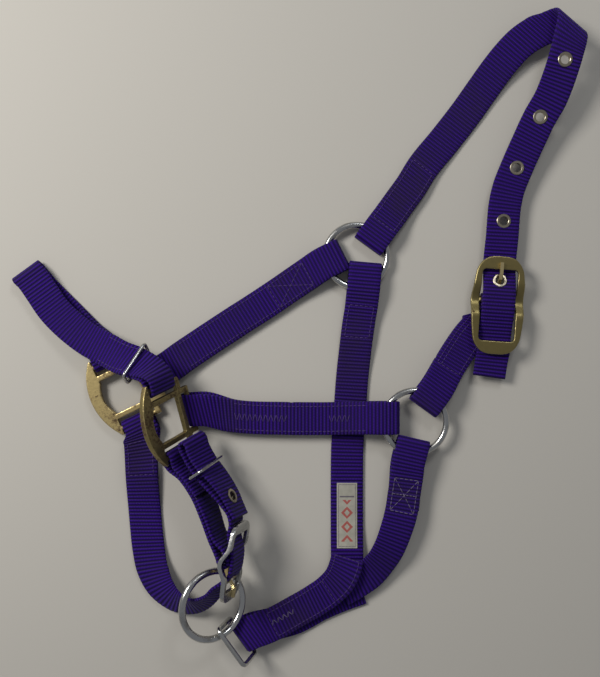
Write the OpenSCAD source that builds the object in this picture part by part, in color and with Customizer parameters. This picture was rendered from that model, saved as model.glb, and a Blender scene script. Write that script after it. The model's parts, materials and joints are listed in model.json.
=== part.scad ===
// Flat-webbing horse halter with an adjustable chin, laid out on a floor. Millimetres, +Z up.

/* [Webbing] */
// Width of every strap
web_w = 25; // [24:0.1:25]
// Thickness of one layer of webbing
web_t = 2.4; // [1.8:0.1:2.4]
// Longest step between two sections of a strap
web_step = 9; // [5:1:15]

/* [Rings] */
// Wire diameter of the two cheek rings
cheek_wire = 4.8; // [4:0.1:4.8]
// Radius of the cheek rings, to the middle of the wire
cheek_ring_r = 23.6; // [23:0.1:24]
// Wire diameter of the chin ring
chin_wire = 5.2; // [4.6:0.1:5.2]
// Radius of the chin ring, to the middle of the wire
chin_ring_r = 25; // [24.6:0.1:25.2]
// Wire diameter of the connector loop
loop_wire = 3.6; // [3:0.1:3.6]

/* [Castings] */
// Thickness of the nose squares
square_t = 4; // [3:0.1:4]
// Radius of the round bars that the straps are folded on
wrap_bar_r = 2; // [1.6:0.1:2]
// Thickness of a buckle frame
buckle_t = 3.2; // [2.6:0.1:3.2]
// Radius of a buckle's centre bar
buckle_bar_r = 2.2; // [2:0.1:2.2]
// Radius of a buckle's tongue
tongue_r = 1.25; // [1:0.05:1.4]

/* [Eyelets] */
// Radius of the hole through an eyelet
eyelet_hole_r = 3.4; // [3:0.1:3.5]
// Radius of an eyelet's flange
eyelet_flange_r = 5.3; // [5:0.1:5.4]

/* [Hidden] */
$fn = 48;

purple = "#2f1a78";
brass = "#a8954a";
nickel = "#b9bcc0";

clear = 0.3;                                  // gap between a strap and the metal inside its fold
ply = web_t + 0.4;                            // distance between the middles of two layers
ring_fold_r = cheek_wire / 2 + clear + web_t / 2;
bar_fold_r = wrap_bar_r + clear + web_t / 2;
buckle_fold_r = buckle_bar_r + clear + web_t / 2;
loop_fold_r = loop_wire / 2 + clear + web_t / 2;
bead_r = 0.1;                                 // how far a weld bead stands out of its wire

off_ring_at = [43, 63, 5.4];
near_ring_at = [87, -63, 10];
chin_ring_at = [-64.4, -197.15, 23.8];
chin_ring_tilt = 34;
up = [0, 0, 1];
set_down = [3.5, -3.1, 0.06];                 // puts the middle of the halter's own box over the origin

// ---- vectors -------------------------------------------------------------------------------

function unit(v) = v / norm(v);
function aim(turn, rise = 0) = [cos(rise) * cos(turn), cos(rise) * sin(turn), sin(rise)];
function head3(v) = [v[0], v[1], v[2]];
function tail3(v) = [v[3], v[4], v[5]];
function flipped(list) = [for (i = [len(list) - 1 : -1 : 0]) list[i]];

// A place on a strap's route: its middle, and the way its width points.
function at(x, y, z, turn, rise = 0) = concat([x, y, z], aim(turn, rise));
function put(p, side) = concat(p, unit(side));

// Columns of a right-handed frame whose X is along x and whose Y is nearest to y.
function axes(x, y) = let (a = unit(x), c = unit(cross(a, y))) [a, cross(c, a), c];
function matrix(f, o) = [
    [f[0][0], f[1][0], f[2][0], o[0]],
    [f[0][1], f[1][1], f[2][1], o[1]],
    [f[0][2], f[1][2], f[2][2], o[2]],
    [0, 0, 0, 1]
];
function placed(f, o) = matrix(f, o + set_down);
function world(f, o, p) = o + f[0] * p[0] + f[1] * p[1] + f[2] * p[2];

// ---- routes --------------------------------------------------------------------------------

function span(r, i) = norm(head3(r[i + 1]) - head3(r[i]));
function slope(r, i) =
    i == 0 ? (r[1] - r[0]) / span(r, 0)
    : i == len(r) - 1 ? (r[i] - r[i - 1]) / span(r, i - 1)
    : let (a = span(r, i - 1), b = span(r, i))
        ((r[i] - r[i - 1]) / a * b + (r[i + 1] - r[i]) / b * a) / (a + b);
function place(r, i, t) = let (h = span(r, i), m = slope(r, i), n = slope(r, i + 1))
    r[i] * (2 * pow(t, 3) - 3 * t * t + 1) + m * (h * (pow(t, 3) - 2 * t * t + t))
    + r[i + 1] * (3 * t * t - 2 * pow(t, 3)) + n * (h * (pow(t, 3) - t * t));
function run_of(r, i, t) = let (h = span(r, i), m = slope(r, i), n = slope(r, i + 1))
    unit(head3(r[i] * (6 * t * t - 6 * t) + m * (h * (3 * t * t - 4 * t + 1))
    + r[i + 1] * (6 * t - 6 * t * t) + n * (h * (3 * t * t - 2 * t))));

function steps(r, i) = max(1, ceil(span(r, i) / web_step));
function until(r, i) = i == 0 ? 0 : until(r, i - 1) + steps(r, i - 1);

// Each section is its middle, the way the strap runs and the way its width points.
function sections(r) = concat(
    [for (i = [0 : len(r) - 2]) let (n = steps(r, i)) for (k = [0 : n - 1])
        let (p = place(r, i, k / n)) [head3(p), run_of(r, i, k / n), unit(tail3(p))]],
    [let (e = len(r) - 1) [head3(r[e]), run_of(r, e - 1, 1), unit(tail3(r[e]))]]);

function corners(s, w, t) = let (
        lean = cross(s[1], s[2]),
        face = unit(lean) * t / 2,
        half = s[2] * w / 2 / norm(lean))
    [s[0] + half + face, s[0] - half + face, s[0] - half - face, s[0] + half - face];

// The frame of a strap at one of its route's points: X across it, Y along it, Z out of its face.
function strap_axes(r, i) = let (t = unit(head3(slope(r, i))), z = unit(cross(tail3(r[i]), t)))
    [cross(t, z), t, z];

// The place one layer away from a strap, on the side its face points to.
function over(r, i, d) = concat(head3(r[i]) + strap_axes(r, i)[2] * d, tail3(r[i]));
function under(r, i, d) = over(r, i, -d);

// A strap going round a wire or bar at c and back: it comes in on the low side of rise and leaves on the high side.
function fold(c, out, rise, r, side, lead) = concat(
    [put(c + out * lead - rise * r, side), put(c + out * 1 - rise * r, side)],
    [for (a = [-115 : -26 : -245]) put(c + out * (r * cos(a)) + rise * (r * sin(a)), side)],
    [put(c + out * 1 + rise * r, side), put(c + out * lead + rise * r, side)]);

// The webbing along a route, or along the part of it from one of its points to another.
module web(r, from = 0, to = -1) {
    whole = sections(r);
    s = [for (i = [until(r, from) : to < 0 ? len(whole) - 1 : until(r, to)]) whole[i]];
    n = len(s);
    points = [for (q = s) for (c = corners(q, web_w, web_t)) c + set_down];
    walls = [for (i = [0 : n - 2]) for (k = [0 : 3]) let (a = 4 * i + k, b = 4 * i + (k + 1) % 4)
        each [[a, b + 4, b], [a, a + 4, b + 4]]];
    ends = [[0, 2, 3], [0, 1, 2], [4 * n - 4, 4 * n - 2, 4 * n - 3], [4 * n - 4, 4 * n - 1, 4 * n - 2]];
    color(purple) polyhedron(points, concat(walls, ends), convexity = 10);
}

module eyelet_at(r, i) {
    multmatrix(placed(strap_axes(r, i), head3(r[i]))) children();
}

module rounded(x, y, r) {
    square([x - 2 * r, y], center = true);
    square([x, y - 2 * r], center = true);
    for (i = [-1, 1], j = [-1, 1]) translate([i * (x / 2 - r), j * (y / 2 - r)]) circle(r = r);
}

// ---- nose squares --------------------------------------------------------------------------

slot_bar = 25.5;         // middle of the top and bottom wrap bars, from the casting's own middle
slot_mid = 12;           // middle of a strap along those bars
front_bar = 37.5;        // middle of the front wrap bar
off_square_at = [-145.4, -44.7, 5.2];
off_square = axes(aim(26), aim(-64));
near_square_at = [-102.6, -63, 37.8];
near_square = axes([0.513, 0.27, -0.815], [0.226, -0.957, -0.178]);

module square_outline() {
    difference() {
        intersection() {
            translate([34, 0]) circle(r = 48, $fn = 120);
            translate([-16, -30.5]) square([14.5, 61]);
        }
        intersection() {
            translate([17, 0]) circle(r = 22, $fn = 90);
            translate([-8, -14]) square([18, 28]);
        }
    }
    for (s = [-1, 1]) {
        translate([-3, s * 16 - 2]) square([front_bar + 3, 4]);
        translate([27, s > 0 ? 14 : -slot_bar]) square([4, slot_bar - 14]);
    }
    translate([25.5, -16]) square([4, 32]);
}

module nose_square() {
    linear_extrude(square_t, center = true) square_outline();
    for (s = [-1, 1]) {
        translate([-4, s * slot_bar, 0]) rotate([0, 90, 0]) cylinder(r = wrap_bar_r, h = 35);
    }
    translate([front_bar, -18, 0]) rotate([-90, 0, 0]) cylinder(r = wrap_bar_r, h = 36);
}

module off_nose_square() {
    color(brass) multmatrix(placed(off_square, off_square_at)) nose_square();
}
module near_nose_square() {
    color(brass) multmatrix(placed(near_square, near_square_at)) nose_square();
}

// ---- buckles -------------------------------------------------------------------------------

crown_buckle_at = [149.5, 29, 8];
crown_buckle = axes(aim(-4), aim(86));
chin_buckle_at = [-52, -160.9, 31.5];
chin_buckle = axes(aim(-10, -74), aim(80));
buckle_lift = 5;         // how far the end plates stand above the centre bar
curl_r = 4.2;            // outside of a tongue's curl round the centre bar

function lift(y) = buckle_lift * (1 - cos(180 * min(1, abs(y) / 13))) / 2;

module buckle(top, bottom, half, plate) {
    intersection() {
        rotate([90, 0, 90]) linear_extrude(4 * half, center = true) polygon(concat(
            [for (y = [-bottom : 2 : top]) [y, lift(y) - buckle_t / 2]],
            [for (y = [-bottom : 2 : top]) let (b = top - bottom - y) [b, lift(b) + buckle_t / 2]]));
        translate([0, 0, -10]) linear_extrude(20) difference() {
            buckle_outline(top, bottom, half);
            translate([0, (top - plate) / 2]) rounded(27, top - plate, 3);
            translate([0, -(bottom - plate) / 2]) rounded(27, bottom - plate, 3);
        }
    }
    rotate([0, 90, 0]) cylinder(r = buckle_bar_r, h = 2 * half - 5, center = true);
}

module buckle_outline(top, bottom, half) {
    middle = (top - bottom) / 2;
    long = (top + bottom) / 2;
    bow = 2.3 * long * long / half;
    translate([0, middle]) intersection() {
        translate([bow - half, 0]) circle(r = bow, $fn = 180);
        translate([half - bow, 0]) circle(r = bow, $fn = 180);
        circle(r = long + 1.5, $fn = 120);
        square([2 * half, 2 * long], center = true);
    }
}

module tongue(path) {
    rotate([0, 90, 0]) difference() {
        cylinder(r = curl_r, h = 3.6, center = true);
        cylinder(r = buckle_bar_r + 0.15, h = 5, center = true);
    }
    rotate([90, 0, 90]) linear_extrude(2 * tongue_r, center = true) polygon(concat(
        [for (p = path) p - [0, tongue_r]], [for (p = flipped(path)) p + [0, tongue_r]]));
}

// How far along and how high a tongue's middle line runs, from the centre bar.
crown_tongue_path = [[3.3, 0.6], [9, 0.7], [12.2, 2], [15.4, 5.8], [19.5, 7.9], [28, 8.1]];
chin_tongue_path = [[-3.3, 0], [-9, 0.1], [-12.5, 1.2], [-16.5, 5.6], [-19.5, 7.9], [-26, 8.1]];

module crown_buckle_frame() {
    color(brass) multmatrix(placed(crown_buckle, crown_buckle_at)) buckle(33, 41, 19.8, 10);
}
module crown_buckle_tongue() {
    color(brass) multmatrix(placed(crown_buckle, crown_buckle_at)) tongue(crown_tongue_path);
}
module chin_buckle_frame() {
    color(nickel) multmatrix(placed(chin_buckle, chin_buckle_at)) buckle(29, 29, 19, 8);
}
module chin_buckle_tongue() {
    color(brass) multmatrix(placed(chin_buckle, chin_buckle_at)) tongue(chin_tongue_path);
}

// The gap in a chape's fold that its tongue swings in.
module tongue_slot(f, o, from, to) {
    multmatrix(placed(f, o)) translate([-2.7, from, -8]) cube([5.4, to - from, 16]);
}

// ---- rings and wire ------------------------------------------------------------------------

module ring(r, wire) {
    rotate_extrude($fn = 96) translate([r, 0]) circle(r = wire / 2, $fn = 32);
    rotate(130) rotate_extrude(angle = 9, $fn = 96) translate([r, 0]) circle(r = wire / 2 + bead_r, $fn = 32);
}

module off_cheek_ring() {
    color(nickel) translate(off_ring_at + set_down) rotate(-10) ring(cheek_ring_r, cheek_wire);
}
module near_cheek_ring() {
    color(nickel) translate(near_ring_at + set_down) rotate(-16) ring(cheek_ring_r, cheek_wire);
}
module chin_ring() {
    color(nickel) translate(chin_ring_at + set_down) rotate([0, chin_ring_tilt, 0]) ring(chin_ring_r, chin_wire);
}

// A rectangle of wire with round corners, its long sides along X.
module wire_loop(x, y, wire, bend) {
    for (s = [-1, 1]) {
        translate([bend - x / 2, s * y / 2, 0]) rotate([0, 90, 0]) cylinder(r = wire / 2, h = x - 2 * bend);
        translate([s * x / 2, bend - y / 2, 0]) rotate([-90, 0, 0]) cylinder(r = wire / 2, h = y - 2 * bend);
        for (t = [-1, 1]) translate([s * (x / 2 - bend), t * (y / 2 - bend), 0])
            rotate(s > 0 ? (t > 0 ? 0 : 270) : (t > 0 ? 90 : 180))
                rotate_extrude(angle = 90) translate([bend, 0]) circle(r = wire / 2, $fn = 32);
    }
}

loop_in_strap = [-43.4, -225.5, 6.9];  // middle of the side that the connector is folded on
loop_side = [0.614, -0.777, 0.136];
loop_out = [-0.345, -0.11, 0.932];
connector_loop_axes = axes(loop_side, loop_out);
loop_w = 31.6;
loop_h = 21.3;

module connector_loop() {
    o = loop_in_strap + connector_loop_axes[1] * (loop_h / 2);
    color(nickel) multmatrix(placed(connector_loop_axes, o)) wire_loop(loop_w, loop_h, loop_wire, 3);
}

// ---- crown ---------------------------------------------------------------------------------

crown_end = [52, 71, 5.4];
crown_out = aim(54);
// The standing fold at the poll: the strap turns over round a line across it and slides along that line.
poll_line = aim(-41);
poll_out = aim(49);
poll_r = 7;
poll_slide = 3.9;
poll_at = [191.3, 235.7, 12];

crown_route = concat(
    [put(crown_end + crown_out * 58 - up * 3.9, aim(-36)), put(crown_end + crown_out * 34 - up * 3.9, aim(-36))],
    fold(crown_end + crown_out * ring_fold_r, crown_out, up, ring_fold_r, aim(-36), 15),
    [
        at(69, 94, 6.4, -37), at(76, 104, 4.6, -38), at(84, 115, 4.1, -38), at(94, 131, 2.9, -38),
        at(111, 152, 1.3, -37), at(128, 174, 1.3, -38), at(140, 191, 1.8, -38), at(150, 205, 3.6, -39),
        at(158, 215, 6, -40), at(168, 225, 8.4, -41), at(180, 232, 10.8, -41)
    ],
    [for (a = [0 : 30 : 180]) put(poll_at + poll_out * (poll_r * sin(a)) + up * (poll_r * (1 - cos(a)))
        + poll_line * (poll_slide * a * PI / 180), poll_line)],
    [
        at(198, 216, 25.5, -26), at(195.6, 206, 24.3, -16), at(192, 193, 21.5, -19), at(187, 179, 18.5, -26),
        at(180, 166, 15.5, -30), at(172, 148, 12.5, -27), at(164, 129, 10, -22), at(158, 113, 9, -14),
        at(155.3, 100, 8.7, -7), at(154.3, 89, 8.6, -4), at(153.5, 78, 8.6, -3)
    ],
    [for (p = [[33, 0.7], [24, 0.7], [14.4, 4], [6, 6.3], [0, 6.5], [-7, 6.2], [-16, 3.6], [-27, 0.9], [-38, 0.7]])
        put(world(crown_buckle, crown_buckle_at, [0, p[0], p[1]]), crown_buckle[0])],
    [at(145.2, -18, 8.3, -6), at(143.8, -29, 7.2, -8)]);
crown_holes = [31, 34, 36, 39, 43];

module crown_strap() {
    difference() {
        web(crown_route);
        for (i = crown_holes) eyelet_at(crown_route, i) eyelet_hole();
    }
}

near_chape_end = [93, -52, 10];
crown_chape_route = concat(
    [at(113.2, -21.4, 5.6, -31)],
    fold(near_chape_end + aim(54) * ring_fold_r, aim(54), up, ring_fold_r, aim(-36), 14),
    [at(112, -23, 9.6, -32), at(120.5, -10.5, 6.2, -30), at(130, 2.5, 4.9, -25, 4), at(139, 11.5, 5.3, -16, 6),
     at(148.4, 19.5, 7.9, -5, 2)],
    flipped(fold(crown_buckle_at, -crown_buckle[1], up, buckle_fold_r, crown_buckle[0], 2)),
    [at(148.4, 19.5, 3.4, -5), at(138.5, 11.2, 2.2, -16), at(130, 2.5, 2.2, -25), at(120.5, -10.5, 3.3, -30),
     at(114.6, -19.4, 5.2, -31)]);

module crown_chape() {
    difference() {
        web(crown_chape_route);
        tongue_slot(crown_buckle, crown_buckle_at, -5.5, 8);
    }
}

// ---- cheeks --------------------------------------------------------------------------------

off_cheek_end = [32.4, 64.35, 5.4];
off_front = world(off_square, off_square_at, [front_bar, 0, 0]);
off_cheek_route = concat(
    [at(-38, 20, 1.4, 122)],
    [at(5, 48.6, 1.4, 119)],
    fold(off_cheek_end + aim(207) * ring_fold_r, aim(207), up, ring_fold_r, aim(117), 14),
    [at(6, 49.3, 7, 119), at(-6, 41.2, 4.8, 121), at(-20, 31.6, 4.1, 122), at(-55, 9, 4.1, 121.5), at(-88, -13, 5, 119)],
    flipped(fold(off_front, off_square[0], up, bar_fold_r, -off_square[1], 7)),
    [at(-88, -13, 1.5, 119), at(-55, 9, 1.3, 121.5), at(-40.5, 18.4, 1.3, 122)]);

near_cheek_end = [74.4, -60, 10];
near_front = world(near_square, near_square_at, [front_bar, 1, 0]);
near_cheek_route = concat(
    [at(-5, -61, 4.2, -90)],
    [at(25, -61, 4.2, -90), at(44, -60.5, 4.6, -90)],
    fold(near_cheek_end - [ring_fold_r, 0, 0], aim(180), up, ring_fold_r, aim(-90), 14),
    [at(50, -60, 12.4, -90), at(38, -60.5, 8.6, -90), at(22, -61, 7.2, -90), at(-10, -61, 7, -90),
     at(-50, -59, 7.6, -87)],
    flipped(fold(near_front, aim(2, 6), unit(cross(aim(2, 6), near_square[1])) * -1, bar_fold_r + 0.35,
        near_square[1], 8)),
    [at(-50, -59, 4.6, -87), at(-8, -61, 4.2, -90)]);

module off_cheek_strap() { web(off_cheek_route); }
module near_cheek_strap() { web(near_cheek_route); }

// ---- nose ----------------------------------------------------------------------------------

off_top = world(off_square, off_square_at, [slot_mid, -slot_bar, 0]);
near_top = world(near_square, near_square_at, [slot_mid, -slot_bar, 0]);
noseband_over = [
    at(-204, 46, 7.3, 216), at(-197, 36, 7.3, 216), at(-188, 23, 7.6, 218), at(-174, 9.5, 10, 226),
    at(-160, -0.5, 13.5, 238), at(-146, -7.5, 18.5, 242), at(-132, -14, 24.5, 238, 10), at(-120.5, -17.4, 28.8, 232, 25)
];
noseband_route = concat(
    [at(-176, 15, 4.1, 221), at(-166, 5, 4.2, 217)],
    flipped(fold(off_top, -off_square[1], up, bar_fold_r, -off_square[0], 7)),
    [
        at(-163.5, 3.5, 1.3, 216), at(-175, 15, 1.3, 219), at(-187, 27, 1.3, 219), at(-198, 38.5, 1.3, 218),
        at(-205, 47, 1.4, 217)
    ],
    [for (a = [-60 : 40 : 60]) put([-207.5, 49.5, 4.4] + aim(127) * (3.1 * cos(a)) + up * (3.1 * sin(a)), aim(216))],
    noseband_over,
    fold(near_top, -near_square[1], near_square[2], bar_fold_r, -near_square[0], 6),
    [for (i = [7, 6, 5]) under(noseband_over, i, ply)]);

module noseband() { web(noseband_route); }

// ---- throat and connector ------------------------------------------------------------------

off_throat_end = [50, 57.2, 5.4];
off_throat_route = concat(
    [at(43.4, -1, 1.3, -4), at(46.6, 22, 1.5, -6)],
    fold(off_throat_end + aim(-95) * ring_fold_r, aim(-95), up, ring_fold_r, aim(-5), 15),
    [
        at(46.9, 25, 6.4, -6), at(45, 13, 4.6, -5), at(43.4, 1, 4.1, -4), at(42, -12, 2.6, -4), at(40.5, -26, 1.5, -3),
        at(38.5, -52, 1.2, -4), at(36.5, -80, 1.2, -2), at(36, -110, 1.2, 0), at(36, -130, 1.2, 0), at(36, -146, 1.5, 0),
        at(36, -158, 2.9, 0), at(36, -165, 4.3, 0), at(36, -172, 4.6, 0)
    ]);

near_throat_end = [86.2, -76.4, 10];
near_throat_route = concat(
    [at(78, -129, 8.5, -8), at(80, -112, 6.6, -8)],
    fold(near_throat_end + aim(-105) * ring_fold_r, aim(-105), up, ring_fold_r, aim(-13), 13),
    [
        at(80.4, -106, 11.6, -8), at(78.6, -118, 11.2, -8), at(76.5, -131, 11.6, -12), at(72, -146, 12.6, -19, -6),
        at(66.8, -159, 12.4, -28, -12), at(60.8, -169.6, 10, -40, -16), at(52.9, -179, 7.2, -55, -9),
        at(43, -186, 6, -66, -4), at(33, -191.5, 5, -70, 0)
    ]);

connector_route = concat(
    [at(47, -192, 1.2, 108), at(34, -196.5, 1.3, 112), at(16, -204, 1.3, 115), at(-4, -214.5, 1.5, 117)],
    [at(-20, -218.5, 2.8, 117, -3)],
    fold(loop_in_strap, aim(24), up, loop_fold_r, -loop_side, 6),
    [
        at(-21, -217, 8.4, 118, -5), at(-4, -208.5, 5.8, 117), at(11, -199.5, 6.8, 116), at(22, -191, 9.2, 124),
        at(30, -182, 10.6, 140, -5), at(34.3, -172.5, 10.2, 158, -9), at(35.8, -166.5, 9.6, 165, -9)
    ]);

module off_throat_strap() { web(off_throat_route); }
module near_throat_strap() { web(near_throat_route); }
module connector_strap() { web(connector_route); }

// ---- chin ----------------------------------------------------------------------------------

off_bottom = world(off_square, off_square_at, [slot_mid, slot_bar, 0]);
near_bottom = world(near_square, near_square_at, [slot_mid, slot_bar, 0]);
chin_route = concat(
    [at(-121, -112, 1.2, 3), at(-121.6, -86, 1.3, 8)],
    fold(off_bottom, off_square[1], up, bar_fold_r, off_square[0], 6),
    [
        at(-121.6, -78, 6.4, 14), at(-121.5, -90, 4.6, 7), at(-121, -104, 4.1, 3), at(-120.3, -117, 2.8, 1),
        at(-119.4, -130, 1.3, 0), at(-118, -146, 1.3, 0), at(-116.2, -161, 1.8, 3), at(-113, -176, 3.6, 12, 8),
        at(-106, -189.5, 6.4, 34, 22), at(-95, -198.5, 10, 66, 36), at(-83, -200.5, 15.5, 100, 46),
        at(-72, -196, 22, 128, 55), at(-63.5, -188, 27, 150, 65)
    ],
    [for (p = [[-19.4, -3.6], [-16.6, -0.2], [-13.6, 3.3], [-9, 5.8], [0, 6.5], [8, 5.4], [14, 2.6], [20, 0.5], [28, 0.4]])
        put(world(chin_buckle, chin_buckle_at, [0, p[0], p[1]]), -chin_buckle[0])],
    [
        at(-47.6, -128, 30.2, 176, 72), at(-53.5, -118, 30, 184, 69), at(-62.5, -107, 29, 192, 65),
        at(-71, -96, 28, 199, 60), at(-78, -84, 27.4, 204, 57)
    ],
    // the free end: it folds over above the keeper and comes down in front
    [for (a = [-80 : 40 : 80]) put([-78.8, -75.5, 29.3] + aim(112) * (3 * cos(a)) + [0.8, 0.3, 0.5] * (3 * sin(a)),
        aim(206, 57))],
    [
        at(-74.5, -80, 31.4, 205, 57), at(-68.5, -90.5, 31.6, 200, 59), at(-60, -100.5, 32, 193, 63),
        at(-50.3, -115, 32.2, 184, 68), at(-46.8, -122.5, 32, 178, 70), at(-43.4, -129.5, 32, 176, 72)
    ]);
chin_tail_from = 38;
chin_hole = 27;
chin_tail_hole = 47;

chape_rise = unit(cross(chin_buckle[0], aim(108)));
chin_chape_route = concat(
    [at(-71, -112.5, 27.2, 195, 66), at(-79.9, -98.8, 24.1, 203, 60)],
    flipped(fold(near_bottom, near_square[1], -near_square[2], bar_fold_r, -near_square[0], 6)),
    [at(-82, -100.5, 22.6, 203, 60), at(-74, -113, 25.6, 195, 66), at(-67, -130, 27.8, 185, 70), at(-61.4, -146, 29, 177, 72)],
    fold(chin_buckle_at, cross(chape_rise, chin_buckle[0]), chape_rise, buckle_fold_r, -chin_buckle[0], 3),
    [at(-58.6, -145, 30, 177, 72), at(-64.2, -129.5, 29, 185, 70), at(-70.2, -115, 27.4, 194, 66.5)]);

module chin_strap() {
    difference() {
        web(chin_route, 0, chin_tail_from);
        eyelet_at(chin_route, chin_hole) eyelet_hole();
    }
}
module chin_tail() {
    difference() {
        web(chin_route, chin_tail_from);
        eyelet_at(chin_route, chin_tail_hole) eyelet_hole();
    }
}
module chin_chape() {
    difference() {
        web(chin_chape_route);
        tongue_slot(chin_buckle, chin_buckle_at, -8, 5.5);
    }
}

// ---- keepers -------------------------------------------------------------------------------

nose_keeper_axes = strap_axes(noseband_over, 7);
nose_keeper_at = head3(under(noseband_over, 7, ply / 2));
chin_keeper_axes = strap_axes(chin_route, 37);
chin_keeper_at = head3(under(chin_route, 37, 3.3));

module nose_keeper() {
    color(nickel) multmatrix(placed(nose_keeper_axes, nose_keeper_at))
        rotate([90, 0, 0]) wire_loop(30, 10.5, 2.4, 2.5);
}
module chin_keeper() {
    color(nickel) multmatrix(placed(chin_keeper_axes, chin_keeper_at))
        rotate([90, 0, 0]) wire_loop(31, 12.8, 2.4, 2.5);
}

// ---- trim ----------------------------------------------------------------------------------

module eyelet_hole() {
    cylinder(r = eyelet_hole_r + 0.85, h = 9, center = true);
    for (s = [-1, 1]) translate([0, 0, s * (web_t / 2 + 1.55)]) cylinder(r = eyelet_flange_r + 0.2, h = 3, center = true);
}

module eyelet() {
    h = web_t / 2;
    a = eyelet_hole_r;
    b = eyelet_flange_r;
    rotate_extrude() polygon([
        [a, -h - 0.5], [a + 0.3, -h - 0.7], [b - 0.4, -h - 0.7], [b, -h - 0.4], [b, -h - 0.1], [a + 0.65, -h - 0.1],
        [a + 0.65, h + 0.1], [b, h + 0.1], [b, h + 0.4], [b - 0.4, h + 0.7], [a + 0.3, h + 0.7], [a, h + 0.5]
    ]);
}

module crown_eyelets() {
    color(nickel) for (i = crown_holes) eyelet_at(crown_route, i) eyelet();
}
module chin_eyelets() {
    color(nickel) for (i = [chin_hole, chin_tail_hole]) eyelet_at(chin_route, i) eyelet();
}

module maker_label() {
    color("#cfc8ae") translate([36, -130, 3.35] + set_down) cube([15.5, 38, 0.6], center = true);
}

crown_strap();
crown_chape();
off_cheek_strap();
near_cheek_strap();
noseband();
off_throat_strap();
near_throat_strap();
connector_strap();
chin_strap();
chin_tail();
chin_chape();
off_cheek_ring();
near_cheek_ring();
chin_ring();
connector_loop();
off_nose_square();
near_nose_square();
crown_buckle_frame();
crown_buckle_tongue();
chin_buckle_frame();
chin_buckle_tongue();
chin_keeper();
nose_keeper();
crown_eyelets();
chin_eyelets();
maker_label();
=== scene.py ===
import json
import math

import bmesh
import bpy
import numpy as np
from mathutils import Matrix, Vector

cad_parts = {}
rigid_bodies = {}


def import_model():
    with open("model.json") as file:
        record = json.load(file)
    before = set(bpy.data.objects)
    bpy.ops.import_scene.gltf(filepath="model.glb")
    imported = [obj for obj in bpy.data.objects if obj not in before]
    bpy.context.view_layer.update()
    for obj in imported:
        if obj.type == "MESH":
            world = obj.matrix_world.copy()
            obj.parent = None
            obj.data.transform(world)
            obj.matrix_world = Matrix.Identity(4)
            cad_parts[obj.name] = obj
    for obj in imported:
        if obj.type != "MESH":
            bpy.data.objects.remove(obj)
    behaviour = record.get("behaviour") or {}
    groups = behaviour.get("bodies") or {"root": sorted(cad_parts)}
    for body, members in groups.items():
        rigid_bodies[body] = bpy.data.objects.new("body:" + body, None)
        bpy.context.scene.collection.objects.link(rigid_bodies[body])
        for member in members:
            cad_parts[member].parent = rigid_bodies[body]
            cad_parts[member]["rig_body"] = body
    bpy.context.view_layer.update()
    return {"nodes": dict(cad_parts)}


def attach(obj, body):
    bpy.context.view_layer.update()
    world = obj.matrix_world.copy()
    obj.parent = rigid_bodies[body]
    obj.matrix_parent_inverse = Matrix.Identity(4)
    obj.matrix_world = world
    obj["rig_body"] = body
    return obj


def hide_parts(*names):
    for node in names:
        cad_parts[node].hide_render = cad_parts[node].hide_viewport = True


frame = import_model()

bl_info = {
    "name": "Webbing Horse Halter",
    "version": (1, 0, 0),
    "blender": (4, 5, 0),
    "location": "3D View > Sidebar > Halter",
    "description": "Lays out a flat-webbing horse halter with its rings, castings and buckles",
    "category": "Object",
}

MM = 0.001
SET_DOWN = np.array([3.5, -3.1, 0.06])
UP = np.array([0.0, 0.0, 1.0])
# radius of a strap's middle where it is folded on a ring, a casting's bar, a buckle's bar and the loop
RING_FOLD, BAR_FOLD, BUCKLE_FOLD, LOOP_FOLD = 3.9, 3.5, 3.7, 3.3
PLY = 2.8  # between the middles of two layers
RIB_STEPS = 5  # sections of a strap to each rib
EYELET_CUT = 4.2  # radius of a punched hole
TONGUE_SLOT = 5.4  # width of the opening a tongue swings in
LABEL_WIDE, LABEL_LONG = 15.5, 50.0
# a buckle's rails rise this much, over this length, and are twice this thick
BUCKLE_LIFT, LIFT_LENGTH, RAIL_HALF = 5.0, 13.0, 1.6
# how far along a stitch, how thick and how high its thread is there
STITCH_SHAPE = (
    (0.0, 0.45, -0.3), (0.18, 0.95, 0.02), (0.5, 1.0, 0.1), (0.82, 0.95, 0.02), (1.0, 0.45, -0.3)
)


# ---- sizes and colours a user can change ------------------------------------------------------


def tint(name, words, default):
    """A colour a user can pick."""
    return bpy.props.FloatVectorProperty(
        name=name, description=words, subtype="COLOR", size=3, default=default, min=0, max=1
    )


class HalterWebbing(bpy.types.PropertyGroup):
    width: bpy.props.FloatProperty(
        name="Width", description="Width of the webbing in mm", default=25.0, min=24.0, max=25.0
    )
    thickness: bpy.props.FloatProperty(
        name="Thickness", description="Thickness of one layer in mm", default=2.4, min=1.8, max=2.4
    )
    rib_pitch: bpy.props.FloatProperty(
        name="Rib pitch", description="Distance between two cross ribs in mm", default=2.7, min=1.8, max=4.0
    )
    rib_height: bpy.props.FloatProperty(
        name="Rib height", description="How far a rib stands out, in mm", default=0.13, min=0.0, max=0.18
    )
    colour: tint("Colour", "Dyed nylon", (0.02, 0.0015, 0.135))
    faded: tint("Soiled colour", "Where mud has dried into the weave", (0.026, 0.016, 0.03))
    thread: tint("Thread", "Sewing thread", (0.075, 0.035, 0.2))
    worn_thread: tint("Worn thread", "Thread rubbed pale", (0.2, 0.16, 0.26))


class HalterMetal(bpy.types.PropertyGroup):
    nickel: tint("Nickel", "Plated steel rings and wire", (0.56, 0.56, 0.545))
    gold: tint("Pale brass", "Nose castings", (0.58, 0.45, 0.2))
    olive: tint("Old brass", "Crown buckle", (0.25, 0.2, 0.08))
    tarnish: tint("Tarnish", "Brown spots on the brass", (0.09, 0.055, 0.025))
    edge_round: bpy.props.IntProperty(
        name="Edge rounding", description="How worn down the edges of a casting are", default=5, min=1, max=12
    )


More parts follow.
